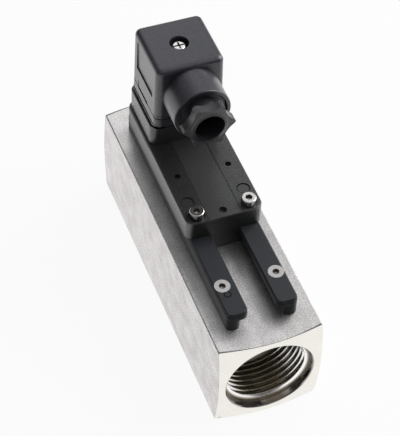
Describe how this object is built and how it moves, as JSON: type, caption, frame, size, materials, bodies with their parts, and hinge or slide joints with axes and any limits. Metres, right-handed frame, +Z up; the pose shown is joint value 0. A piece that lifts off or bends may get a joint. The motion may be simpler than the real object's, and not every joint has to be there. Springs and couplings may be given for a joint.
{
  "type": "variable area flow switch",
  "caption": "Variable area flow switch: square metal flow body with threaded ports, guide rails, sliding reed switch housing, and a square plug connector with a cable gland.",
  "frame": {"origin": "centre of the square flow body's bottom face", "axes": "+Y along the pipe axis with the flow, +Z up from the flow body to the plug connector, +X to the side"},
  "size_m": [0.04, 0.13, 0.0963],
  "materials": {
    "body_metal": "satin",
    "inner_metal": "turned",
    "spring_steel": "smooth",
    "screw_steel": "bright",
    "magnet_metal": "sintered",
    "rail_metal": "black anodised, satin",
    "clamp_metal": "black anodised, satin",
    "black_plastic": "fine grained",
    "board_laminate": "laminate",
    "reed_tube_glass": "clear",
    "contact_metal": "tin plated",
    "wire_sleeve": "smooth",
    "insert_brass": "turned",
    "gasket_rubber": "matte"
  },
  "bodies": {
    "meter_body": {"flow_body": "body_metal", "retaining_ring": "spring_steel", "inlet_guide": "inner_metal", "outlet_guide": "inner_metal", "metering_ring": "inner_metal", "guide_rod": "spring_steel", "rod_nuts": "screw_steel", "spring_seat": "inner_metal", "return_spring": "spring_steel", "rail_left": "rail_metal", "rail_right": "rail_metal", "rail_screws": "screw_steel"},
    "float": {"float_head": "inner_metal", "float_magnets": "magnet_metal", "magnet_sleeve": "inner_metal", "float_cap": "inner_metal"},
    "switch_unit": {"switch_housing": "black_plastic", "housing_base": "black_plastic", "clamp_block": "clamp_metal", "reed_board": "board_laminate", "reed_glass": "reed_tube_glass", "reed_leads": "contact_metal", "signal_wires": "wire_sleeve", "contact_blades": "contact_metal", "earth_blade": "contact_metal", "threaded_insert": "insert_brass", "profile_gasket": "gasket_rubber"},
    "left_washer": {"clamp_washer_left": "screw_steel"},
    "left_screw": {"clamp_screw_left": "screw_steel"},
    "right_washer": {"clamp_washer_right": "screw_steel"},
    "right_screw": {"clamp_screw_right": "screw_steel"},
    "plug": {"plug_housing": "black_plastic", "terminal_block": "black_plastic", "socket_contacts": "contact_metal", "terminal_screws": "screw_steel", "gland_grommet": "gasket_rubber"},
    "seal_ring": {"screw_seal": "gasket_rubber"},
    "centre_screw": {"fixing_screw": "screw_steel"},
    "gland_washer": {"thrust_washer": "black_plastic"},
    "gland_cap": {"gland_nut": "black_plastic"}
  },
  "joints": [
    {"name": "float_slide", "type": "slide", "parent": "meter_body", "child": "float", "axis": [0, 1, 0], "range_m": [0, 0.015], "stiffness_N_per_m": 60, "springref_m": -0.02, "deforming": ["return_spring"]},
    {"name": "unit_slide", "type": "slide", "parent": "meter_body", "child": "switch_unit", "axis": [0, 1, 0], "range_m": [-0.036, 0.0035]},
    {"name": "clamp_left_lift", "type": "slide", "parent": "switch_unit", "child": "left_washer", "axis": [0, 0, 1], "range_m": [0, 0.001]},
    {"name": "clamp_left_turn", "type": "hinge", "parent": "left_washer", "child": "left_screw", "pos_m": [-0.0102, -0.013, 0.0564], "axis": [0, 0, 1], "range_deg": [0, 721]},
    {"name": "clamp_right_lift", "type": "slide", "parent": "switch_unit", "child": "right_washer", "axis": [0, 0, 1], "range_m": [0, 0.001]},
    {"name": "clamp_right_turn", "type": "hinge", "parent": "right_washer", "child": "right_screw", "pos_m": [0.0102, -0.013, 0.0564], "axis": [0, 0, 1], "range_deg": [0, 721]},
    {"name": "plug_pull", "type": "slide", "parent": "switch_unit", "child": "plug", "axis": [0, 0, 1], "range_m": [0, 0.025]},
    {"name": "centre_screw_lift", "type": "slide", "parent": "plug", "child": "seal_ring", "axis": [0, 0, 1], "range_m": [0, 0.005]},
    {"name": "centre_screw_turn", "type": "hinge", "parent": "seal_ring", "child": "centre_screw", "pos_m": [0, 0.03575, 0.093], "axis": [0, 0, 1], "range_deg": [0, 3602]},
    {"name": "gland_travel", "type": "slide", "parent": "plug", "child": "gland_washer", "axis": [0, -1, 0], "range_m": [0, 0.00282]},
    {"name": "gland_turn", "type": "hinge", "parent": "gland_washer", "child": "gland_cap", "pos_m": [0, 0.014, 0.08365], "axis": [0, -1, 0], "range_deg": [0, 721]}
  ],
  "couplings": [
    {"joint": "clamp_left_turn", "follows": "clamp_left_lift", "rad_per_m": 12566},
    {"joint": "clamp_right_turn", "follows": "clamp_right_lift", "rad_per_m": 12566},
    {"joint": "centre_screw_turn", "follows": "centre_screw_lift", "rad_per_m": 12566},
    {"joint": "gland_turn", "follows": "gland_travel", "rad_per_m": 4453}
  ]
}
